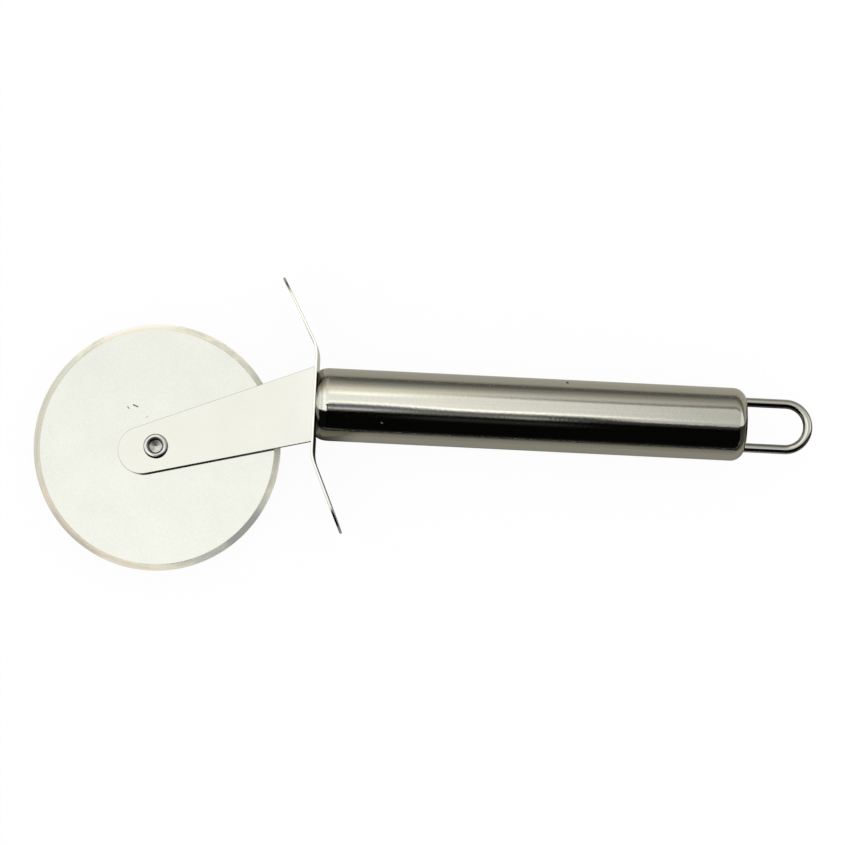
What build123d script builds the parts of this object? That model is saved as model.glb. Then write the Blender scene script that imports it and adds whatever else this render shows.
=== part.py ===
from build123d import *
import os

# Pizza cutter lying on its side, in millimetres
# While it is built, X = 0 is the front face of the handle, Y = 0 and Z = 0 the handle's axis
# +X runs from the wheel to the loop, +Y to the thumb side, +Z is the wheel's axle, out of the arm's side

# Cutting wheel
WHEEL_RADIUS = 32.2
WHEEL_THICKNESS = 0.9
BEVEL_WIDTH = 1.65
EDGE_THICKNESS = 0.12

# Pivot
PIVOT_REACH = 41.08
PIVOT_DROP = 13.15
SHANK_RADIUS = 2.2
SLEEVE_WALL = 0.5
WASHER_RADIUS = 4.8
WASHER_THICKNESS = 1.0
PIVOT_HEAD_RADIUS = 3.8
PIVOT_HEAD_HEIGHT = 1.3
PIVOT_HEAD_RIM = 0.4
CLINCH_RADIUS = 3.2
CLINCH_HEIGHT = 0.9
CLINCH_RIM = 0.5
CROWN_INNER = 2.12
CROWN_CREST = 2.34
CROWN_OUTER = 2.92
CROWN_DROP = 0.12
CUP_RADIUS = 1.65
CUP_DEPTH = 1.6
CUP_CONE = 0.4

# Wheel arm
ARM_THICKNESS = 2.0
ARM_ROOT_WIDTH = 19.7
ARM_END_RADIUS = 6.12
ARM_END_OVERHANG = 3.9
ARM_EDGE_ROUNDING = 0.12
PRONG_WIDTH = 4.2
PRONG_GAP = 2.2
PRONG_HOOK = 2.6

# Thumb guard
GUARD_WIDTH = 16.4
GUARD_THICKNESS = 0.6
GUARD_EDGE_ROUNDING = 0.12
GUARD_BEND = 9.0
GUARD_CORNER = 6.8
UPPER_BEND_Y = 14.24
UPPER_TIP = (-9.91, 32.55)
LOWER_BEND_Y = -14.15
LOWER_TIP = (8.34, -33.25)

# Handle
HANDLE_RADIUS = 9.5
HANDLE_LENGTH = 111.57
TUBE_WALL = 0.5
FRONT_CAP_REACH = 3.3
FRONT_CAP_DROP = 1.45
REAR_CAP_REACH = 3.6
REAR_CAP_DROP = 3.6
CAP_THICKNESS = 0.6
SPIGOT_LENGTH = 5.0

# Hanging loop
WIRE_RADIUS = 1.2
LOOP_INSET = 3.57
LOOP_LEG = 10.4
LEG_HEAD_RADIUS = 1.8
LEG_HEAD_HEIGHT = 0.8

# Fits
RUNNING_CLEARANCE = 0.06
SEAT_CLEARANCE = 0.03
AXIAL_CLEARANCE = 0.05

# Heights along the axle, from the arm's outer face down to the rivet's head
arm_face = ARM_THICKNESS / 2
near_washer_face = -arm_face - WASHER_THICKNESS
wheel_top = near_washer_face - AXIAL_CLEARANCE
wheel_middle = wheel_top - WHEEL_THICKNESS / 2
wheel_bottom = wheel_top - WHEEL_THICKNESS
far_washer_face = wheel_bottom - AXIAL_CLEARANCE
rivet_seat = far_washer_face - WASHER_THICKNESS

# Places worked out from the sizes above
sleeve_radius = SHANK_RADIUS + SEAT_CLEARANCE + SLEEVE_WALL
guard_front = -GUARD_THICKNESS
tube_bore = HANDLE_RADIUS - TUBE_WALL
prong_offset = (PRONG_GAP + PRONG_WIDTH) / 2
loop_radius = HANDLE_RADIUS - LOOP_INSET
pivot = Vector(-PIVOT_REACH, -PIVOT_DROP, 0)
leg_places = [Pos(0, side * loop_radius, 0) for side in (-1, 1)]
along_handle = Rot(0, 90, 0)


def ring(outer, bore, bottom, top):
    """Flat ring round the pivot axis between two heights."""
    flat = Circle(outer) - Circle(bore)
    return Pos(*pivot) * Pos(0, 0, bottom) * extrude(flat, top - bottom)


def spun(outline, axis):
    """Solid of revolution from the closed outline."""
    return revolve(make_face(outline), axis)


def bent_sheet(path, thickness, side):
    """Face of a bent sheet: the path along one face, thickened to one side."""
    return make_face(offset(path, amount=thickness, side=side).edges())


def cutting_wheel():
    """Disc with a bevel on both faces and a running bore on the sleeve."""
    bore = sleeve_radius + RUNNING_CLEARANCE
    inner = WHEEL_RADIUS - BEVEL_WIDTH
    face = WHEEL_THICKNESS / 2
    edge = EDGE_THICKNESS / 2
    outline = Polyline(
        (bore, -face),
        (inner, -face),
        (WHEEL_RADIUS, -edge),
        (WHEEL_RADIUS, edge),
        (inner, face),
        (bore, face),
        close=True,
    )
    return Pos(*pivot) * Pos(0, 0, wheel_middle) * spun(Plane.XZ * outline, Axis.Z)


def pivot_rivet():
    """Semi-tubular rivet: low domed head behind the wheel, clinched ring and cup on the arm."""
    crest = arm_face + CLINCH_HEIGHT
    floor = crest - CUP_DEPTH
    head_tip = (0, rivet_seat - PIVOT_HEAD_HEIGHT)
    head_rim = (PIVOT_HEAD_RADIUS, rivet_seat - PIVOT_HEAD_RIM)
    ring_rim = (CLINCH_RADIUS, arm_face + CLINCH_RIM)
    shoulder = (CROWN_OUTER, crest - CROWN_DROP)
    cup_edge = (CUP_RADIUS, crest - (CROWN_INNER - CUP_RADIUS))
    head = TangentArc(head_tip, head_rim, tangent=(1, 0))
    body = Polyline(
        head_rim,
        (PIVOT_HEAD_RADIUS, rivet_seat),
        (SHANK_RADIUS, rivet_seat),
        (SHANK_RADIUS, arm_face),
        (CLINCH_RADIUS, arm_face),
        ring_rim,
    )
    crown = TangentArc((CROWN_CREST, crest), shoulder, tangent=(1, 0))
    roll = TangentArc(shoulder, ring_rim, tangent=crown % 1)
    land = Line((CROWN_CREST, crest), (CROWN_INNER, crest))
    lip = TangentArc((CROWN_INNER, crest), cup_edge, tangent=(-1, 0))
    cup = Polyline(cup_edge, (CUP_RADIUS, floor), (0, floor - CUP_CONE), head_tip)
    outline = [Plane.XZ * line for line in (head, body, roll, crown, land, lip, cup)]
    return Pos(*pivot) * spun(outline, Axis.Z)


def arm_plate():
    """Flat plate that tapers from its root at the guard to a round end past the pivot."""
    root = Vector(guard_front, 0, 0)
    half_root = Vector(0, ARM_ROOT_WIDTH / 2, 0)
    arm_end = pivot + (pivot - root).normalized() * ARM_END_OVERHANG
    root_line = Line(root - half_root, root + half_root)
    end_circle = Pos(*arm_end) * Circle(ARM_END_RADIUS)
    outline = make_hull(end_circle.edges() + root_line.edges())
    plate = extrude(outline, arm_face, both=True)
    flats = plate.faces().filter_by(Axis.Z).edges()
    free = flats.filter_by(lambda edge: edge.center().X < guard_front - ARM_EDGE_ROUNDING)
    return fillet(free, ARM_EDGE_ROUNDING)


def arm_prong():
    """Prong on the arm's root, through guard and front cap, with its end bent up against the cap."""
    inner_path = Polyline(
        (guard_front - ARM_THICKNESS, arm_face),
        (CAP_THICKNESS, arm_face),
        (CAP_THICKNESS, arm_face + PRONG_HOOK),
    )
    section = bent_sheet(inner_path, ARM_THICKNESS, Side.RIGHT)
    return extrude(Plane.XZ * section, PRONG_WIDTH / 2, both=True)


def wheel_arm():
    """Arm with two prongs bent over opposite ways, and the pivot's hole."""
    bent_up = Pos(0, prong_offset, 0) * arm_prong()
    bent_down = Rot(180, 0, 0) * bent_up
    hole = Pos(*pivot) * Cylinder(SHANK_RADIUS + SEAT_CLEARANCE, 2 * ARM_THICKNESS)
    return arm_plate() + bent_up + bent_down - hole


def prong_slots():
    """Cutters for the two prongs' slots through guard and front cap."""
    width = PRONG_WIDTH + 2 * SEAT_CLEARANCE
    height = ARM_THICKNESS + 2 * SEAT_CLEARANCE
    slot = Box(2 * (GUARD_THICKNESS + CAP_THICKNESS), width, height)
    return [Pos(0, side * prong_offset, 0) * slot for side in (-1, 1)]


def thumb_guard():
    """Strip a little narrower than the handle, bent into two opposite flanges, its corners rounded."""
    back_path = FilletPolyline(
        UPPER_TIP,
        (0, UPPER_BEND_Y),
        (0, LOWER_BEND_Y),
        LOWER_TIP,
        radius=GUARD_BEND,
    )
    section = bent_sheet(back_path, GUARD_THICKNESS, Side.RIGHT)
    strip = extrude(section, GUARD_WIDTH / 2, both=True)
    ends = strip.edges().filter_by(GeomType.LINE)
    short = ends.filter_by(lambda edge: edge.length < 2 * GUARD_THICKNESS)
    cornered = fillet(short, GUARD_CORNER)
    broad = cornered.faces().filter_by(lambda face: face.area > GUARD_WIDTH * GUARD_CORNER / 2)
    bends = broad.edges().filter_by(Axis.Z).filter_by(lambda edge: edge.length > GUARD_WIDTH / 2)
    return fillet(broad.edges() - bends, GUARD_EDGE_ROUNDING) - prong_slots()


def end_cap(reach, drop):
    """Pressed cap: flat face at X = 0, quarter ellipse at its edge and a spigot for the tube's bore."""
    spigot = tube_bore - SEAT_CLEARANCE
    inner = spigot - CAP_THICKNESS
    flat = HANDLE_RADIUS - drop
    depth = reach + SPIGOT_LENGTH
    hollow = inner - flat
    corner = CAP_THICKNESS + hollow
    edge = EllipticalCenterArc((reach, flat), reach, drop, start_angle=90, arc_size=90)
    skirt = Polyline(
        (reach, HANDLE_RADIUS),
        (reach, spigot),
        (depth, spigot),
        (depth, inner),
        (corner, inner),
    )
    inner_edge = RadiusArc((corner, inner), (CAP_THICKNESS, flat), -hollow)
    face = Polyline((CAP_THICKNESS, flat), (CAP_THICKNESS, 0), (0, 0), (0, flat))
    return spun([edge, skirt, inner_edge, face], Axis.X)


def front_cap():
    """Front cap with the two slots of the arm's prongs."""
    return end_cap(FRONT_CAP_REACH, FRONT_CAP_DROP) - prong_slots()


def rear_cap():
    """Rear cap, turned to face the other way, with the two holes of the loop's legs."""
    turned = Pos(HANDLE_LENGTH, 0, 0) * Rot(0, 180, 0) * end_cap(REAR_CAP_REACH, REAR_CAP_DROP)
    hole = along_handle * Cylinder(WIRE_RADIUS + SEAT_CLEARANCE, 2 * REAR_CAP_REACH)
    return turned - [Pos(HANDLE_LENGTH, 0, 0) * place * hole for place in leg_places]


def handle_tube():
    """Straight tube between the rounded edges of the two caps."""
    wall = Circle(HANDLE_RADIUS) - Circle(tube_bore)
    length = HANDLE_LENGTH - FRONT_CAP_REACH - REAR_CAP_REACH
    return Pos(FRONT_CAP_REACH, 0, 0) * along_handle * extrude(wall, length)


def hanging_loop():
    """Round wire bent to a U, its legs headed over against the inside of the rear cap."""
    start = HANDLE_LENGTH - CAP_THICKNESS - LEG_HEAD_HEIGHT
    turn = HANDLE_LENGTH + LOOP_LEG
    upper = Line((start, loop_radius), (turn, loop_radius))
    bow = ThreePointArc((turn, loop_radius), (turn + loop_radius, 0), (turn, -loop_radius))
    lower = Line((turn, -loop_radius), (start, -loop_radius))
    path = Wire([upper, bow, lower])
    wire = sweep(Pos(start, loop_radius, 0) * along_handle * Circle(WIRE_RADIUS), path)
    head = Pos(start, 0, 0) * along_handle * extrude(Circle(LEG_HEAD_RADIUS), LEG_HEAD_HEIGHT)
    return wire + [place * head for place in leg_places] - rear_cap()


washer_bore = sleeve_radius + RUNNING_CLEARANCE
nodes = {
    "cutting_wheel": cutting_wheel(),
    "pivot_rivet": pivot_rivet(),
    "pivot_sleeve": ring(sleeve_radius, SHANK_RADIUS + SEAT_CLEARANCE, rivet_seat, -arm_face),
    "near_washer": ring(WASHER_RADIUS, washer_bore, near_washer_face, -arm_face),
    "far_washer": ring(WASHER_RADIUS, washer_bore, rivet_seat, far_washer_face),
    "wheel_arm": wheel_arm(),
    "thumb_guard": thumb_guard(),
    "front_cap": front_cap(),
    "handle_tube": handle_tube(),
    "rear_cap": rear_cap(),
    "hanging_loop": hanging_loop(),
}

# The finished part stands on Z = 0 with its box centred over the origin
box = Compound([solid for node in nodes.values() for solid in node.solids()]).bounding_box()
placed = Pos(-box.center().X, -box.center().Y, -box.min.Z)
os.makedirs("parts", exist_ok=True)
for name, node in nodes.items():
    export_step(placed * node, f"parts/{name}.step")

print("box", box.size, "shift", placed.position)
print("pivot", placed.position + pivot + Vector(0, 0, wheel_middle))
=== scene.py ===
import math

import bpy
import numpy as np
from mathutils import Matrix, Vector


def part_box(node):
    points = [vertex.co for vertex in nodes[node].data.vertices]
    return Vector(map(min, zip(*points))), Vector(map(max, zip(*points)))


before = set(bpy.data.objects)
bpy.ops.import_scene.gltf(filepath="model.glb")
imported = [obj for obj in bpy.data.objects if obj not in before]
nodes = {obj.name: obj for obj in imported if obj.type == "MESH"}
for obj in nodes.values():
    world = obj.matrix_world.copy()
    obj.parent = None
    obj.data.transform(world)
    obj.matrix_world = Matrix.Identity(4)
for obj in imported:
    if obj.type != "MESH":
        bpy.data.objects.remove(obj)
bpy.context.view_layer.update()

# Places read from the frame
wheel_low, wheel_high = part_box("cutting_wheel")
tube_low, tube_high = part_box("handle_tube")
loop_low, loop_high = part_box("hanging_loop")
CAP_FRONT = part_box("front_cap")[0].x
PIVOT = (wheel_low + wheel_high) / 2
WHEEL_RADIUS = (wheel_high.x - wheel_low.x) / 2
TUBE_AXIS = (tube_low + tube_high) / 2
TUBE_PLACE = Vector((0, TUBE_AXIS.y, TUBE_AXIS.z))
ARM_THICKNESS = 0.002
ARM_FACE = TUBE_AXIS.z + ARM_THICKNESS / 2
ARM_SLOPE = (PIVOT.y - TUBE_AXIS.y) / (PIVOT.x - CAP_FRONT)
WIRE_RADIUS = 0.0012
LOOP_RADIUS = (loop_high.y - loop_low.y) / 2 - WIRE_RADIUS
LOOP_TURN = loop_high.x - WIRE_RADIUS - LOOP_RADIUS

# Colours of the steel and of what is on it
WHEEL_STEEL = (0.538, 0.545, 0.495, 1)
BEVEL_STEEL = (0.56, 0.565, 0.52, 1)
BEVEL_DULL = (0.7, 0.71, 0.6, 1)
BEVEL_CREAM = (0.92, 0.86, 0.69, 1)
BEVEL_RUST = (0.93, 0.79, 0.62, 1)
BEVEL_PALE = (1.0, 0.98, 0.9, 1)
BEVEL_SPOT = (0.55, 0.4, 0.3, 1)
# darker outer half of the bevel towards the lower left
BEVEL_DARK_BROWN = (0.33, 0.32, 0.28, 1)
BEVEL_SHADE = (0.55, 0.5, 0.4, 1)
SHEET_STEEL = (0.548, 0.545, 0.49, 1)
TUBE_STEEL = (0.53, 0.522, 0.452, 1)
WIRE_STEEL = (0.55, 0.54, 0.48, 1)
RIVET_STEEL = (0.55, 0.55, 0.51, 1)
# spots of stain in the rivet's cup, and painted shade on its upper half
CUP_STAIN_AND_SHADE = (0.1, 0.095, 0.07, 1)

# Tones: how bright a place is, as a part of its steel's own colour
WHEEL_TONES = (0.88, 1.12)
SCUFF_TONE = 0.1
BARE_TONES = (1.05, 0.78)
LINE_TONE = 0.5
SHEET_TONES = (0.95, 1.05)
# painted highlight along the guard's top cut edge
CUT_HIGHLIGHT_TONE = 1.2
# painted shade behind the guard and under the arm
SHEET_SHADE_TONE = 0.1
TUBE_TONES = (0.82, 1.18)
PIT_TONE = 0.05
WIRE_TONES = (0.9, 1.08)
# painted shade on the wire's sides
WIRE_SIDE_SHADE_TONE = 0.1
RIVET_TONES = (0.96, 1.1)
# painted shade on the rivet's lip and foot
RIVET_SHADE_TONE = 0.08
WASHER_TONES = (0.88, 1.0)

# Grain in cells per metre along x, y and z
WHEEL_CLOUD_CELLS = (110, 110, 110)
WHEEL_FINE_CELLS = (2200, 2200, 600)
SHEET_ROLLED_CELLS = (60, 2400, 2400)
SHEET_CLOUD_CELLS = (130, 130, 130)
TUBE_STREAK_CELLS = (22, 1700, 1700)
TUBE_PEEL_CELLS = (1200, 2600, 2600)
TUBE_MOTTLE_CELLS = (1500, 3600, 3600)
RIVET_SPOT_CELLS = (1800, 1800, 1800)
WASHER_CLOUD_CELLS = (900, 900, 900)

# Grain of the bevel: cells per metre outward and per radian round the axle, and the layer of noise
BEVEL_PATCH_CELLS = (800, 7, 0.0)
BEVEL_HUE_CELLS = (1100, 11, 5.0)
BEVEL_RING_CELLS = (1700, 1.5, 0.0)
BEVEL_SPOT_CELLS = (1500, 25, 9.0)

# Bevel: its inner edge, how soft that is, how far it wanders, and where its outer half starts
BEVEL_INNER = WHEEL_RADIUS - 0.00165
BEVEL_SOFT = 0.00012
BEVEL_WANDER = 0.0004
OUTER_HALF = (BEVEL_INNER + 0.0004, BEVEL_INNER + 0.0011)

# What is on the bevel: the noise at which it starts and is full, and how strong it is
STAIN_NOISE = (0.42, 0.62)
RUST_NOISE = (0.38, 0.6)
SPOT_NOISE = (0.6, 0.72)
LINE_NOISE = (0.4, 0.62)
STAIN_DEPTH = 0.85
PALE_DEPTH = 0.8
SPOT_DEPTH = 0.5
SHADE_DEPTH = 0.42
LOW_LEFT_DEPTH = 0.32
LINE_DEPTH = 0.2

# Places round the axle: degrees clockwise from +Y, and the cosines at which each ends and is full
CLEAN_PLACE = (135, 0.91, 0.97)
DARK_PLACE = (130, 0.97, 0.995)
GREY_PLACE = (-73, 0.8, 0.95)
TOP_CREAM_PLACE = (-12, 0.92, 0.99)
LOW_CREAM_PLACE = (-171, 0.9, 0.985)
LOW_LEFT_PLACE = (-139, 0.93, 0.99)
RUST_PLACE = (-135, 0.5, 0.95)
SHADE_PLACE = (-105, 0.4, 0.9)
# painted shade on the rivet's lip, cup and foot
LIP_SHADE_PLACE = (-25, 0.0, 0.9)
CUP_SHADE_PLACE = (-3, 0.0, 0.7)
FOOT_SHADE_PLACE = (145, -0.2, 0.6)

# Marks: start, end and width of each, and a scuff's depth; scuffs are placed from the axle, the
# others from the handle's axis
WHEEL_SCUFFS = (
    ((-0.00822, 0.01017), (-0.00788, 0.00973), 0.00017, 0.75),
    ((-0.00682, 0.01072), (-0.0056, 0.0103), 0.00018, 1.0),
    ((-0.0031, 0.00777), (-0.00298, 0.00777), 0.0002, 0.4),
)
TUBE_PIT = ((0.0367, 0.00831), (0.0369, 0.00831), 0.0003)
TUBE_SPECK = ((-0.0106, -0.00478), (-0.0104, -0.00478), 0.0002)
TUBE_UPPER = (TUBE_AXIS.z, TUBE_AXIS.z + 0.001)

# Sheet: height of the guard's cut edge, which carries a painted highlight, and where the painted
# shade behind the guard and under the arm starts and is full: along the cutter, sideways from the
# handle's axis, below the arm's middle line and below the arm's face
CUT_EDGE = (0.0175, 0.0176)
SHADE_BEHIND_GUARD = (CAP_FRONT - 0.00006, CAP_FRONT - 0.00002)
SHADE_HALF_WIDTH = (0.0075, 0.009)
SHADE_BELOW_MIDDLE = (0.003, 0.0045)
SHADE_BELOW_FACE = (ARM_FACE - 0.00025, ARM_FACE - 0.0001)
SHEET_SHADE_DEPTH = 0.8
ARM_ROOT = (CAP_FRONT - 0.0012, CAP_FRONT - 0.0008)

# Wire: cells per metre of its die lines across, upward and along, and how far it leans to each side
# where that side's painted shade starts and is full
WIRE_LINE_CELLS = (4000, 4000, 30)
LOW_SIDE_SHADE_LEAN = (0.3, 0.7)
HIGH_SIDE_SHADE_LEAN = (0.5, 0.95)

# Rivet: its rings in cells outward, round and upward, the edges of its cup and foot, and painted
# shade on a lip round the cup, painted off centre
RIVET_RING_CELLS = (6000, 1.5, 2000)
CUP_EDGE = (0.0015, 0.0017)
CUP_NOISE = (0.5, 0.68)
FOOT_EDGE = (0.0027, 0.0029)
LIP_PLACE = PIVOT + Vector((-0.00013, 0.00014, 0))
LIP_INNER = (0.0014, 0.0016)
LIP_OUTER = (0.00218, 0.00238)

# Camera fitted to the photograph's frame
CAMERA_TARGET = Vector((-0.00015, 0.002925, 0.0095))
CAMERA_AZIMUTH = math.radians(2.828)
CAMERA_ELEVATION = math.radians(85.5)
CAMERA_DISTANCE = 0.69
CAMERA_LENS = 113.0
CAMERA_SENSOR = 36.0
CAMERA_CLIP = 0.01

# Studio: a half tunnel about the handle's axis, its two ends, a table strip and a floor. The cutter
# at x mirrors to the camera the tunnel at x times the reach.
CARD_RADIUS = 3.0
CARD_HALF_LENGTH = 4.0
MIRROR_REACH = 5.4
TABLE_HEIGHT = -0.00005
TABLE_TINT = (1.0, 0.97, 0.87)
FLOOR_HEIGHT = -0.0002
FLOOR_REACH = 4.0
FLOOR_LIFT = 0.95
WHITE = (1, 1, 1, 1)

# Glow by degrees about the handle from straight above, positive towards -Y
BOX_STOPS = (
    (-90, 0.1), (-81, 0.15), (-75, 0.25), (-69, 0.32), (-63, 0.46), (-57, 0.63), (-51, 0.76),
    (-45, 0.93), (-39, 1.12), (-36, 1.0), (-18, 1.0), (-6, 1.03), (4, 1.03), (7, 0.88), (14, 0.76),
    (30, 0.7),
)
FRONT_STOPS = (
    (-90, 0.2), (-60, 0.8), (-34, 1.4), (-12, 1.52), (-4, 1.61), (0, 1.7), (22, 1.75), (26, 0.006),
    (90, 0.006),
)
FAR_STOPS = ((-90, 0.15), (-75, 0.15), (-56, 0.35), (-40, 0.75), (-25, 1.0), (22, 1.0), (26, 0.0))
FRONT_END_STOPS = (
    (-90, 0.15), (-56, 0.35), (-40, 0.8), (-25, 1.05), (22, 1.05), (27, 0.3), (90, 0.25),
)
REAR_END_STOPS = (
    (-90, 0.2), (-70, 0.25), (-52, 1.2), (8, 1.2), (16, 0.04), (60, 0.06), (74, 0.09), (90, 0.12),
)

# Soft box over the handle, in degrees and in metres along the cutter. Where a value changes in
# steps, its first value comes first; each step is a change, where it starts and where it is full.
BOX_LEVEL = 1.36
BOX_FALL_STOPS = ((-0.010465, 1.045), (0.03, 0.871), (0.077544, 0.6))
BOX_FALL_SIDE = (-74, -50)
FAR_REAR = (0.4, 0.7)
FAR_SIDE = (-66, -54)
BOX_EDGE = (-0.8, (7.1, -0.016, 0.0085), (-1.5, 0.011, 0.04))
REAR_DROP = (0.0, (8.2, 0.041, 0.055))
EDGE_SOFTNESS = (4.0, (-1.5, 0.041, 0.055))
CREASE_SHIFT = (0.0, (3.5, 0.06, 0.078))

# Lines in the tunnel: middle and spread in degrees, then the strength's steps along the cutter. The
# edge line is placed from the soft box's edge.
CREASE = (-45, 3.6, 0.0, (0.57, -0.015, 0.045), (-0.57, 0.4, 0.7))
TOP_LINE = (-34, 3.0, 0.38, (-0.38, -0.015, 0.006))
EDGE_LINE = (-4.9, 2.2, 0.28, (0.34, -0.016, 0.0085), (-0.58, 0.03, 0.075))
STRIP = (14.4, 2.6, 0.62, (-0.62, -0.02, 0.0))
STREAK = (33, 4, 0.0, (0.03, -0.012, 0.0), (-0.03, 0.03, 0.045))
WARM_LINE = (-46, 5, 0.17, (-0.17, 0.0, 0.03))
COOL_LINE = (6, 5, 0.0, (0.2, -0.04, -0.03), (-0.2, -0.008, 0.004))

# Dark side below the soft box, and the tunnel's tints
DARK_STEPS = (0.003, (0.022, 80, 90))
BAND = (0.21, (-0.1575, 0.02, 0.045))
BAND_END = (16, 25)
SPOT_LEVEL = 0.45
SPOT_PLACE = (0.0249, 0.0035)
SPOT_TURN = (18, 2.4)
REAR_LOW = (0.0, (0.15, 0.4, 0.55))
REAR_LOW_SIDE = (72, 84)
WARM_SIDE = (0.1, (-0.1, -60, -48))
WARM_GREEN = 0.25
COOL_GREEN = 0.3

# Tunnel ahead of the handle, in degrees and in metres forward
FRONT_START = (0.025, 0.034)
ROOT_END = (0.034, 0.04)
RIVET_SHADE = (0.0, (1.0, 0.056, 0.06), (-1.0, 0.08, 0.085))
ARM_END = (0.09, 0.11)
ARM_SIDE = (8, 9)
FRONT_SHADE_SIDE = (2.6, 3.6)
FRONT_SHADE_DEPTH = 0.98
FAR_START = (0.11, 0.14)
FAR_LEVEL = (1.8, (-0.6, 0.2, 0.3))
STRIPE_LEVEL = 0.3
STRIPE_PLACE = (0.48, 0.05)
FAR_LOW = 0.005
END_LOW = 0.25
END_START = (0.5, 0.65)
END_LOW_START = (0.42, 0.55)
END_LOW_SIDE = (40, 60)

# Table strip: its glow by metres sideways from the handle's axis, and its shades, each a depth with
# steps along the cutter times one with steps sideways. The first makes it lighter.
TABLE_STOPS = (
    (-0.6, 0.02), (-0.35, 0.06), (-0.2, 0.13), (-0.12, 0.23), (-0.07, 0.33), (-0.04, 0.38),
    (-0.03, 0.42), (-0.02, 0.4), (-0.012, 0.3), (0.0, 0.3), (0.012, 0.5), (0.03, 0.53), (0.06, 0.5),
    (0.1, 0.36), (0.2, 0.19), (0.35, 0.13), (0.6, 0.12),
)
BY_FLANGE = (
    (-1.3, (1.3, -0.034, -0.031)),
    (0.0, (1.0, 0.008, 0.012), (-1.0, 0.029, 0.033)),
)
UNDER_ARM = (
    (0.8, (-0.8, -0.0295, -0.028)),
    (1.0, (-1.0, -0.004, 0.002)),
)
BY_FRONT_CAP = (
    (0.0, (1.0, -0.0295, -0.028), (-1.0, -0.026, -0.016)),
    (0.76, (0.2, -0.016, -0.011), (-0.96, -0.004, 0.0)),
)
UNDER_LOOP = (
    (0.0, (0.95, 0.083, 0.0845)),
    (0.0, (1.0, -0.0085, -0.0075), (-1.0, 0.003, 0.006)),
)
PAST_LOOP = (
    (0.0, (0.75, 0.106, 0.114)),
    (1.0, (-1.0, -0.008, -0.004)),
)
TABLE_SHADES = (BY_FLANGE, UNDER_ARM, BY_FRONT_CAP, UNDER_LOOP, PAST_LOOP)


class Field:
    """One output of a node tree. Arithmetic on it adds Math nodes to the tree."""

    def __init__(self, graph, socket):
        self.graph = graph
        self.socket = socket

    def math(self, operation, *others):
        """A Math node on this value and the others."""
        values = dict(enumerate((self, *others)))
        return self.graph.node("ShaderNodeMath", {"operation": operation}, values)

    def reflected(self, operation, other):
        """A Math node with the other value first."""
        return self.graph.node("ShaderNodeMath", {"operation": operation}, {0: other, 1: self})

    def __add__(self, other):
        return self.math("ADD", other)

    def __radd__(self, other):
        return self.reflected("ADD", other)

    def __sub__(self, other):
        return self.math("SUBTRACT", other)

    def __rsub__(self, other):
        return self.reflected("SUBTRACT", other)

    def __mul__(self, other):
        return self.math("MULTIPLY", other)

    def __rmul__(self, other):
        return self.reflected("MULTIPLY", other)

    def __truediv__(self, other):
        return self.math("DIVIDE", other)

    def __rtruediv__(self, other):
        return self.reflected("DIVIDE", other)

    def between(self, low, high):
        """0 below low, 1 above high, eased between."""
        settings = {"interpolation_type": "SMOOTHSTEP"}
        limits = {"Value": self, "From Min": low, "From Max": high}
        return self.graph.node("ShaderNodeMapRange", settings, limits)


class Graph:
    """Writes one node tree."""

    def __init__(self, tree):
        self.tree = tree
        tree.nodes.clear()

    def node(self, kind, settings=None, inputs=None, output=0):
        """Adds a node of this type: its settings first, then values or links for its inputs."""
        made = self.tree.nodes.new(kind)
        for name, value in (settings or {}).items():
            setattr(made, name, value)
        for name, value in (inputs or {}).items():
            if isinstance(value, Field):
                self.tree.links.new(value.socket, made.inputs[name])
            else:
                made.inputs[name].default_value = value
        return Field(self, made.outputs[output]) if made.outputs else None

    def place(self):
        """The point on the piece, in metres."""
        return self.node("ShaderNodeTexCoord", output="Object")

    def split(self, vector):
        """The three parts of a vector."""
        part = self.node("ShaderNodeSeparateXYZ", inputs={0: vector})
        return [Field(self, socket) for socket in part.socket.node.outputs]

    def joined(self, x, y, z):
        """A vector of three parts."""
        return self.node("ShaderNodeCombineXYZ", inputs={0: x, 1: y, 2: z})

    def noise(self, vector, detail=2.0, roughness=0.5):
        """Noise from 0 to 1, one cell per unit of the vector."""
        looks = {"Vector": vector, "Scale": 1.0, "Detail": detail, "Roughness": roughness}
        return self.node("ShaderNodeTexNoise", {"noise_dimensions": "3D"}, looks)

    def grain(self, cells, detail=2.0, roughness=0.5):
        """Noise over the piece, in cells per metre along each axis."""
        stretch = {0: self.place(), 1: cells}
        stretched = self.node("ShaderNodeVectorMath", {"operation": "MULTIPLY"}, stretch)
        return self.noise(stretched, detail, roughness)

    def tint(self, amount, low, high):
        """Colour that goes from low to high with the amount."""
        settings = {"data_type": "RGBA", "blend_type": "MIX"}
        return self.node("ShaderNodeMix", settings, {"Factor": amount, 6: low, 7: high}, output=2)

    def toned(self, amount, colour, low, high):
        """The colour, from its low to its high tone with the amount."""
        return self.tint(amount, scaled(colour, low), scaled(colour, high))

    def bump(self, height, depth):
        """Normal of a surface raised by height times depth, in metres."""
        raised = {"Strength": 1.0, "Distance": depth, "Height": height}
        return self.node("ShaderNodeBump", inputs=raised)


def scaled(colour, factor):
    """The colour, lighter or darker."""
    return tuple(part * factor for part in colour[:3]) + (1,)


def steel(name, write):
    """Metal whose colour, roughness and normal are written by a function of its graph."""
    material = bpy.data.materials.new(name)
    material.use_nodes = True
    graph = Graph(material.node_tree)
    looks = {"Metallic": 1.0}
    looks.update(write(graph))
    surface = graph.node("ShaderNodeBsdfPrincipled", inputs=looks)
    graph.node("ShaderNodeOutputMaterial", inputs={"Surface": surface})
    return material


def y_from_axis(y):
    """Sideways distance from the handle's axis."""
    return y - TUBE_AXIS.y


def round_pivot(graph, middle=PIVOT):
    """Distance from the wheel's axle, or from a place near it, and angle round it."""
    x, y = graph.split(graph.place())[:2]
    across = x - middle.x
    along = y - middle.y
    distance = (across * across + along * along).math("SQRT")
    return distance, across.math("ARCTAN2", along)


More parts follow.
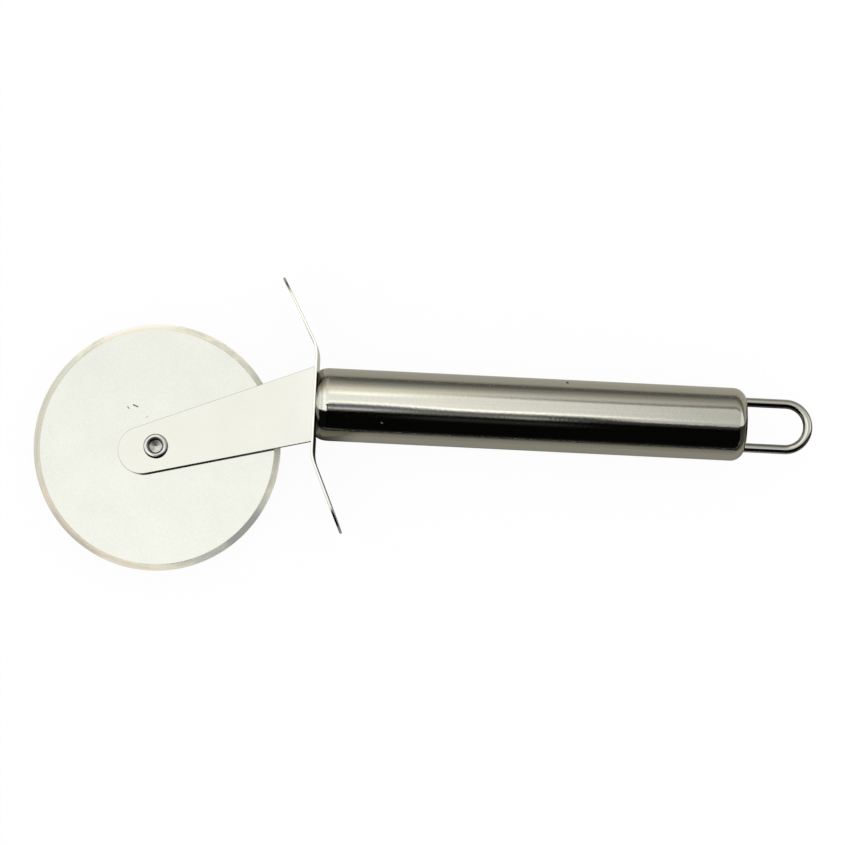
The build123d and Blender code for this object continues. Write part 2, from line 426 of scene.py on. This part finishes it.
def round_grain(graph, distance, turn, cells, detail, roughness=0.5):
    """Noise that runs round the axle."""
    outward, around, layer = cells
    return graph.noise(graph.joined(distance * outward, turn * around, layer), detail, roughness)


def toward(turn, place):
    """1 at a place round the axle, 0 away from it."""
    middle, outer, inner = place
    return (turn - math.radians(middle)).math("COSINE").between(outer, inner)


def stroke(graph, origin, start, end, width):
    """Straight mark: 1 on its line, 0 beyond its width, by distance to the line's nearest point."""
    x, y = graph.split(graph.place())[:2]
    from_x = x - (origin.x + start[0])
    from_y = y - (origin.y + start[1])
    right, up = end[0] - start[0], end[1] - start[1]
    part = (from_x * right + from_y * up) / (right * right + up * up)
    part = part.math("MAXIMUM", 0.0).math("MINIMUM", 1.0)
    across = from_x - part * right
    along = from_y - part * up
    return 1 - (across * across + along * along).math("SQRT").between(width * 0.5, width * 1.3)


def wheel_finish(graph):
    """Polished face, faintly clouded and scuffed, and a ground bevel with stains on most of it."""
    distance, turn = round_pivot(graph)
    patches = round_grain(graph, distance, turn, BEVEL_PATCH_CELLS, detail=4.0, roughness=0.6)
    hues = round_grain(graph, distance, turn, BEVEL_HUE_CELLS, detail=3.0)
    rings = round_grain(graph, distance, turn, BEVEL_RING_CELLS, detail=3.0)
    spots = round_grain(graph, distance, turn, BEVEL_SPOT_CELLS, detail=2.0)
    cloud = graph.grain(WHEEL_CLOUD_CELLS, detail=3.0)
    fine = graph.grain(WHEEL_FINE_CELLS)
    wandering = distance + (patches - 0.5) * BEVEL_WANDER
    bevel = wandering.between(BEVEL_INNER - BEVEL_SOFT, BEVEL_INNER + BEVEL_SOFT)
    outer_half = distance.between(*OUTER_HALF)
    clean = toward(turn, CLEAN_PLACE)
    dark = toward(turn, DARK_PLACE)
    top_cream = toward(turn, TOP_CREAM_PLACE)
    low_cream = toward(turn, LOW_CREAM_PLACE)
    rusted = toward(turn, RUST_PLACE)

    # Face
    polished = graph.toned(cloud * 0.45 + fine * 0.55, WHEEL_STEEL, *WHEEL_TONES)
    scuffs = sum(
        stroke(graph, PIVOT, start, end, width) * depth
        for start, end, width, depth in WHEEL_SCUFFS
    )
    face = graph.tint(scuffs, polished, scaled(WHEEL_STEEL, SCUFF_TONE))

    # Stains of the bevel: cream to rust, at the top paler outside and spotted inside
    rust = hues.between(*RUST_NOISE) * (0.2 + rusted * 0.8)
    stain = graph.tint(rust, BEVEL_CREAM, BEVEL_RUST)
    pale = graph.tint(top_cream * outer_half * PALE_DEPTH, stain, BEVEL_PALE)
    speckled = spots.between(*SPOT_NOISE) * top_cream * (1 - outer_half)
    spotted = graph.tint(speckled * SPOT_DEPTH, pale, BEVEL_SPOT)
    grown = patches + top_cream * 0.25 + low_cream * 0.3 + rusted * 0.1
    worn = grown - toward(turn, GREY_PLACE) * 0.14 - clean * 0.35
    stained = worn.between(*STAIN_NOISE)

    # Bevel: bare or dull steel under the stains, then painted shade, a darker outer half towards the
    # lower left and the lines of its grinding
    bare = graph.toned(dark, BEVEL_STEEL, *BARE_TONES)
    dull_steel_and_side_shade = graph.tint(clean * (0.6 + dark * 0.6), BEVEL_DULL, bare)
    ground = graph.tint(stained * STAIN_DEPTH, dull_steel_and_side_shade, spotted)
    shaded = graph.tint(toward(turn, SHADE_PLACE) * SHADE_DEPTH, ground, BEVEL_SHADE)
    # Darker outer half of the bevel towards the lower left
    low_left_darkening = toward(turn, LOW_LEFT_PLACE) * outer_half * LOW_LEFT_DEPTH
    lines = rings.between(*LINE_NOISE) * (1 - top_cream * 0.7) * LINE_DEPTH
    darkened_low_left = graph.tint(low_left_darkening, shaded, BEVEL_DARK_BROWN)
    lined = graph.tint(lines, darkened_low_left, scaled(BEVEL_STEEL, LINE_TONE))
    return {
        "Base Color": graph.tint(bevel, face, lined),
        "Roughness": 0.05 + fine * 0.03 + bevel * 0.35,
        "Metallic": 1 - bevel * (0.6 + (low_cream + top_cream) * 0.2),
        "Normal": graph.bump(rings * bevel * 0.6 + fine * 0.05, depth=0.000006),
    }


def sheet_finish(graph):
    """Rolled sheet: faint grain; painted highlight on its cut edge; painted shade behind guard,
    under arm.
    """
    rolled = graph.grain(SHEET_ROLLED_CELLS)
    cloud = graph.grain(SHEET_CLOUD_CELLS, detail=3.0)
    x, y, z = graph.split(graph.place())
    aside = y_from_axis(y)
    within = 1 - aside.math("ABSOLUTE").between(*SHADE_HALF_WIDTH)
    behind_guard = x.between(*SHADE_BEHIND_GUARD) * within
    below_middle = (x - CAP_FRONT) * ARM_SLOPE - aside
    low_side = below_middle.between(*SHADE_BELOW_MIDDLE) * (1 - z.between(*SHADE_BELOW_FACE))
    # Painted shade behind the guard round the front cap, and along the arm's low side up to its root
    painted_shade = behind_guard + low_side * (1 - x.between(*ARM_ROOT))
    plain = graph.toned(rolled * 0.4 + cloud * 0.6, SHEET_STEEL, *SHEET_TONES)
    # Painted highlight along the guard's top cut edge
    highlighted = graph.tint(z.between(*CUT_EDGE), plain, scaled(SHEET_STEEL, CUT_HIGHLIGHT_TONE))
    return {
        "Base Color": graph.tint(painted_shade * SHEET_SHADE_DEPTH, highlighted, scaled(SHEET_STEEL, SHEET_SHADE_TONE)),
        "Roughness": 0.06 + rolled * 0.04,
        "Normal": graph.bump(rolled, depth=0.000001),
    }


def tube_finish(graph):
    """Polished tube: fine streaks along it over slight orange peel, one pit and one rough speck."""
    streak = graph.grain(TUBE_STREAK_CELLS, detail=3.0, roughness=0.65)
    peel = graph.grain(TUBE_PEEL_CELLS, detail=1.0)
    mottle = graph.grain(TUBE_MOTTLE_CELLS, detail=1.0)
    upper = graph.split(graph.place())[2].between(*TUBE_UPPER)
    pit = stroke(graph, TUBE_PLACE, *TUBE_PIT) * upper
    speck = stroke(graph, TUBE_PLACE, *TUBE_SPECK) * upper
    streaked = graph.toned(streak * 0.65 + mottle * 0.35, TUBE_STEEL, *TUBE_TONES)
    return {
        "Base Color": graph.tint(pit, streaked, scaled(TUBE_STEEL, PIT_TONE)),
        "Roughness": 0.04 + streak * 0.04 + speck * 0.7,
        "Normal": graph.bump(streak * 0.3 + peel, depth=0.000006),
    }


def wire_finish(graph):
    """Drawn wire: die lines that follow the wire round its bend, and painted shade on its sides."""
    x, y, z = graph.split(graph.place())
    aside = y_from_axis(y)
    past = (x - LOOP_TURN).math("MAXIMUM", 0.0)
    outward = (past * past + aside * aside).math("SQRT")
    side = outward - LOOP_RADIUS
    across_cells, upward_cells, along_cells = WIRE_LINE_CELLS
    lines = graph.noise(graph.joined(side * across_cells, z * upward_cells, x * along_cells))
    lean = side * aside / (outward * WIRE_RADIUS)
    # Painted shade on the wire's sides, deeper on its low side
    dull_steel_and_side_shade = (lean * -1).between(*LOW_SIDE_SHADE_LEAN) * 0.75 + lean.between(*HIGH_SIDE_SHADE_LEAN) * 0.35
    bright = graph.toned(lines, WIRE_STEEL, *WIRE_TONES)
    return {
        "Base Color": graph.tint(dull_steel_and_side_shade, bright, scaled(WIRE_STEEL, WIRE_SIDE_SHADE_TONE)),
        "Roughness": 0.06 + lines * 0.06,
        "Normal": graph.bump(lines, depth=0.000001),
    }


def rivet_finish(graph):
    """Pressed rivet: faint rings, a spotted cup, painted shade on its lip, one side of foot and top
    of cup.
    """
    distance, turn = round_pivot(graph)
    height = graph.split(graph.place())[2]
    outward, around, upward = RIVET_RING_CELLS
    rings = graph.noise(graph.joined(distance * outward, turn * around, height * upward))
    spots = graph.grain(RIVET_SPOT_CELLS, detail=3.0)
    # Painted shade on a lip round the cup, off centre and deepest to one side, and on one side of
    # the foot
    from_lip = round_pivot(graph, LIP_PLACE)[0]
    cup = 1 - distance.between(*CUP_EDGE)
    lip = from_lip.between(*LIP_INNER) * (1 - from_lip.between(*LIP_OUTER))
    foot = distance.between(*FOOT_EDGE) * toward(turn, FOOT_SHADE_PLACE)
    shade = lip * (0.8 + toward(turn, LIP_SHADE_PLACE) * 0.17) + foot * 0.8
    bright = graph.toned(rings, RIVET_STEEL, *RIVET_TONES)
    crown = graph.tint(shade, bright, scaled(RIVET_STEEL, RIVET_SHADE_TONE))
    # Cup: spots of stain, and painted shade on its upper half
    stain = spots.between(*CUP_NOISE) * 0.4 + toward(turn, CUP_SHADE_PLACE) * 0.55
    return {
        "Base Color": graph.tint(cup, crown, graph.tint(stain, RIVET_STEEL, CUP_STAIN_AND_SHADE)),
        "Roughness": 0.08 + rings * 0.05 + cup * 0.2,
        "Normal": graph.bump(rings, depth=0.000003),
    }


def plain_finish(graph):
    """Blanked steel of the washers and the sleeve."""
    cloud = graph.grain(WASHER_CLOUD_CELLS, detail=3.0)
    return {
        "Base Color": graph.toned(cloud, RIVET_STEEL, *WASHER_TONES),
        "Roughness": 0.28 + cloud * 0.1,
        "Normal": graph.bump(cloud, depth=0.000004),
    }


finishes = {
    "wheel_steel": wheel_finish,
    "sheet_steel": sheet_finish,
    "handle_steel": tube_finish,
    "wire_steel": wire_finish,
    "rivet_steel": rivet_finish,
    "plain_steel": plain_finish,
}
wearing = {
    "cutting_wheel": "wheel_steel",
    "wheel_arm": "sheet_steel",
    "thumb_guard": "sheet_steel",
    "handle_tube": "handle_steel",
    "front_cap": "handle_steel",
    "rear_cap": "handle_steel",
    "hanging_loop": "wire_steel",
    "pivot_rivet": "rivet_steel",
    "pivot_sleeve": "plain_steel",
    "near_washer": "plain_steel",
    "far_washer": "plain_steel",
}
steels = {name: steel(name, write) for name, write in finishes.items()}
for piece, finish in wearing.items():
    nodes[piece].data.materials.clear()
    nodes[piece].data.materials.append(steels[finish])


def grid_object(name, points, glow=None):
    """Mesh of a grid of points, rows by columns, with an optional glow colour at each point."""
    rows, columns = points.shape[:2]
    index = np.arange(rows * columns).reshape(rows, columns)
    corners = (index[:-1, :-1], index[1:, :-1], index[1:, 1:], index[:-1, 1:])
    faces = np.stack(corners, axis=-1).reshape(-1, 4)
    mesh = bpy.data.meshes.new(name)
    mesh.from_pydata(points.reshape(-1, 3).tolist(), [], faces.tolist())
    if glow is not None:
        layer = mesh.attributes.new("glow", "FLOAT_COLOR", "POINT")
        colours = np.ones((rows * columns, 4), dtype=np.float32)
        colours[:, :3] = glow.reshape(-1, 3)
        layer.data.foreach_set("color", colours.ravel())
    made = bpy.data.objects.new(name, mesh)
    bpy.context.scene.collection.objects.link(made)
    return made


def only_reflected(card):
    """The card is seen in the steel and by nothing else."""
    card.visible_camera = False
    card.visible_diffuse = False
    card.visible_shadow = False
    card.visible_volume_scatter = False


def glow_material():
    """Plain glow of the studio's cards, read from each card."""
    material = bpy.data.materials.new("card_glow")
    material.use_nodes = True
    material.cycles.emission_sampling = "NONE"
    graph = Graph(material.node_tree)
    colour = graph.node("ShaderNodeAttribute", {"attribute_name": "glow"})
    light = graph.node("ShaderNodeEmission", inputs={"Color": colour, "Strength": 1.0})
    graph.node("ShaderNodeOutputMaterial", inputs={"Surface": light})
    return material


def eased(value, low, high):
    """0 below low, 1 above high, eased between."""
    part = np.clip((value - low) / (high - low), 0, 1)
    return part * part * (3 - 2 * part)


def stepped(value, first, *steps):
    """The first value, and each step's change eased in over its range."""
    return first + sum(change * eased(value, low, high) for change, low, high in steps)


def along_stops(value, stops):
    """Straight lines between the stops."""
    table = np.array(stops)
    return np.interp(value, table[:, 0], table[:, 1])


def hill(value, middle, spread):
    """Bell curve of height 1 round the middle."""
    return np.exp(-0.5 * ((value - middle) / spread) ** 2)


def line(degrees, seen, middle, spread, *strength):
    """Soft line along the tunnel: a bell curve over the angle times its strength at the place."""
    return stepped(seen, *strength) * hill(degrees, middle, spread)


def box_level(degrees, seen, edge):
    """Glow of the soft box over the handle: dimmer to the rear, one crease and two bright lines."""
    side = along_stops(degrees, BOX_STOPS)
    side = side + (1 - side) * eased(seen, *FAR_REAR) * eased(degrees, *FAR_SIDE)
    dimmed = 1 - (1 - along_stops(seen, BOX_FALL_STOPS)) * eased(degrees, *BOX_FALL_SIDE)
    crease = line(degrees + stepped(seen, *CREASE_SHIFT), seen, *CREASE)
    lines = line(degrees, seen, *TOP_LINE) + line(degrees - edge, seen, *EDGE_LINE)
    return BOX_LEVEL * dimmed * (side * (1 - crease) + lines)


def dark_level(degrees, seen):
    """Glow below the soft box: nearly black, with a grey band and a few faint lights in it."""
    band = stepped(seen, *BAND) * (1 - eased(degrees, *BAND_END))
    lines = line(degrees, seen, *STRIP) + line(degrees, seen, *STREAK)
    spot = SPOT_LEVEL * hill(seen, *SPOT_PLACE) * hill(degrees, *SPOT_TURN)
    rear = stepped(seen, *REAR_LOW) * eased(degrees, *REAR_LOW_SIDE)
    return band + lines + spot + rear + stepped(degrees, *DARK_STEPS)


def handle_level(degrees, seen):
    """Glow of the tunnel over the handle: the soft box down to its edge, and dark below."""
    edge = stepped(seen, *BOX_EDGE)
    low_edge = edge + stepped(seen, *REAR_DROP)
    soft = stepped(seen, *EDGE_SOFTNESS)
    box = box_level(degrees, seen, edge)
    dark = dark_level(degrees, seen)
    return box + (dark - box) * eased(degrees, low_edge - soft, low_edge + soft)


def front_level(degrees, ahead):
    """Glow ahead of the handle: bright to a low edge, dark beside arm and rivet, striped far off."""
    root = 1 - eased(ahead, *ROOT_END)
    rivet = stepped(ahead, *RIVET_SHADE)
    arm = (1 - eased(ahead, *ARM_END)) * (1 - eased(degrees, *ARM_SIDE))
    shade = eased(degrees, *FRONT_SHADE_SIDE) * np.maximum(arm, np.maximum(root, rivet))
    near = along_stops(degrees, FRONT_STOPS) * (1 - FRONT_SHADE_DEPTH * shade)
    stripes = stepped(ahead, *FAR_LEVEL) + STRIPE_LEVEL * hill(ahead, *STRIPE_PLACE)
    low_end = eased(ahead, *END_LOW_START) * eased(degrees, *END_LOW_SIDE)
    low = FAR_LOW + END_LOW * np.maximum(eased(ahead, *END_START), low_end)
    far = low + (stripes - low) * along_stops(degrees, FAR_STOPS)
    return near + (far - near) * eased(ahead, *FAR_START)


def overhead_level(degrees, seen):
    """Glow of the half tunnel by angle and by the place along the cutter that mirrors it."""
    handle = handle_level(degrees, seen)
    front = front_level(degrees, -seen)
    return handle + (front - handle) * eased(-seen, *FRONT_START)


def overhead_tint(degrees, seen):
    """Colour of the half tunnel: warm on its far side, cool below the soft box's edge."""
    warm = stepped(degrees, *WARM_SIDE) + line(degrees, seen, *WARM_LINE)
    cool = line(degrees, seen, *COOL_LINE)
    green = 1 - WARM_GREEN * warm + COOL_GREEN * cool
    blue = 1 - warm + cool
    return np.stack((np.ones_like(blue), green, blue), axis=-1)


def overhead_card():
    """Half tunnel over the cutter: a half circle about the handle's axis, carried along it."""
    angle = np.linspace(-90, 90, 721)
    close = np.linspace(-1.0, 1.0, 161)
    far = np.linspace(1.1, CARD_HALF_LENGTH, 12)
    along = np.concatenate((-far[::-1], close, far))
    degrees, x = np.meshgrid(angle, along, indexing="ij")
    turn = np.radians(degrees)
    y = TUBE_AXIS.y - np.sin(turn) * CARD_RADIUS
    z = TUBE_AXIS.z + np.cos(turn) * CARD_RADIUS
    seen = x / MIRROR_REACH
    glow = overhead_level(degrees, seen)[..., None] * overhead_tint(degrees, seen)
    return grid_object("overhead_card", np.stack((x, y, z), axis=-1), glow)


def end_card(name, x, stops):
    """Upright square that closes one end of the half tunnel: glow by the angle about the handle."""
    across = np.linspace(-CARD_RADIUS, CARD_RADIUS, 121)
    upward = np.linspace(0, 2 * CARD_RADIUS, 121)
    y, z = np.meshgrid(across, upward, indexing="ij")
    points = np.stack((np.full_like(y, x), y, z), axis=-1)
    level = along_stops(np.degrees(np.arctan2(TUBE_AXIS.y - y, z - TUBE_AXIS.z)), stops)
    return grid_object(name, points, np.repeat(level[..., None], 3, axis=-1))


def table_level(x, y):
    """Glow of the table strip by the distance from the handle, times what each shade leaves."""
    level = along_stops(y, TABLE_STOPS)
    for along, aside in TABLE_SHADES:
        level = level * (1 - stepped(x, *along) * stepped(y, *aside))
    return level


def table_card():
    """Flat strip under the cutter: a plane grid, finest near the handle."""
    close = np.linspace(-0.04, 0.04, 161)
    beyond = np.linspace(0.045, 0.12, 16)
    far = np.linspace(0.125, CARD_RADIUS, 60)
    across = np.concatenate((-far[::-1], -beyond[::-1], close, beyond, far))
    beside = np.linspace(-0.1, 0.13, 461)
    along = np.concatenate(([-CARD_HALF_LENGTH], beside, [CARD_HALF_LENGTH]))
    y, x = np.meshgrid(across, along, indexing="ij")
    points = np.stack((x, y + TUBE_AXIS.y, np.full_like(x, TABLE_HEIGHT)), axis=-1)
    return grid_object("table_card", points, table_level(x, y)[..., None] * np.array(TABLE_TINT))


def floor():
    """Plain pale floor: a plane, white to the camera and in the steel, with the cutter's shadow."""
    reach = np.linspace(-FLOOR_REACH, FLOOR_REACH, 3)
    x, y = np.meshgrid(reach, reach, indexing="ij")
    made = grid_object("floor", np.stack((x, y, np.full_like(x, FLOOR_HEIGHT)), axis=-1))
    material = bpy.data.materials.new("pale_floor")
    material.use_nodes = True
    graph = Graph(material.node_tree)
    path = graph.node("ShaderNodeLightPath")
    seen = Field(graph, path.socket.node.outputs["Is Camera Ray"])
    for kind in ("Is Glossy Ray", "Is Transmission Ray"):
        seen = seen.math("MAXIMUM", Field(graph, path.socket.node.outputs[kind]))
    paper = graph.node("ShaderNodeBsdfDiffuse", inputs={"Color": WHITE})
    white = graph.node("ShaderNodeEmission", inputs={"Color": WHITE, "Strength": 1.0})
    mixed = graph.node("ShaderNodeMixShader", inputs={0: seen * FLOOR_LIFT, 1: paper, 2: white})
    graph.node("ShaderNodeOutputMaterial", inputs={"Surface": mixed})
    made.data.materials.append(material)


def studio():
    """White room, pale floor and the cards that the steel reflects."""
    world = bpy.data.worlds.new("white_room")
    bpy.context.scene.world = world
    world.use_nodes = True
    world.cycles.sampling_method = "NONE"
    graph = Graph(world.node_tree)
    white = graph.node("ShaderNodeBackground", inputs={"Color": WHITE, "Strength": 1.0})
    graph.node("ShaderNodeOutputWorld", inputs={"Surface": white})
    floor()
    glow = glow_material()
    front_end = end_card("front_end_card", -CARD_HALF_LENGTH, FRONT_END_STOPS)
    rear_end = end_card("rear_end_card", CARD_HALF_LENGTH, REAR_END_STOPS)
    for card in (overhead_card(), table_card(), front_end, rear_end):
        card.data.materials.append(glow)
        only_reflected(card)


def camera():
    """Camera at the photograph's viewing angle."""
    back = Vector((
        math.sin(CAMERA_AZIMUTH) * math.cos(CAMERA_ELEVATION),
        -math.cos(CAMERA_AZIMUTH) * math.cos(CAMERA_ELEVATION),
        math.sin(CAMERA_ELEVATION),
    ))
    right = Vector((math.cos(CAMERA_AZIMUTH), math.sin(CAMERA_AZIMUTH), 0))
    up = back.cross(right)
    lens = bpy.data.cameras.new("camera")
    lens.lens = CAMERA_LENS
    lens.sensor_width = CAMERA_SENSOR
    lens.clip_start = CAMERA_CLIP
    made = bpy.data.objects.new("camera", lens)
    turned = Matrix((right, up, back)).transposed().to_4x4()
    made.matrix_world = Matrix.Translation(CAMERA_TARGET + back * CAMERA_DISTANCE) @ turned
    bpy.context.scene.collection.objects.link(made)
    bpy.context.scene.camera = made


studio()
camera()
bpy.context.scene.view_settings.view_transform = "Standard"
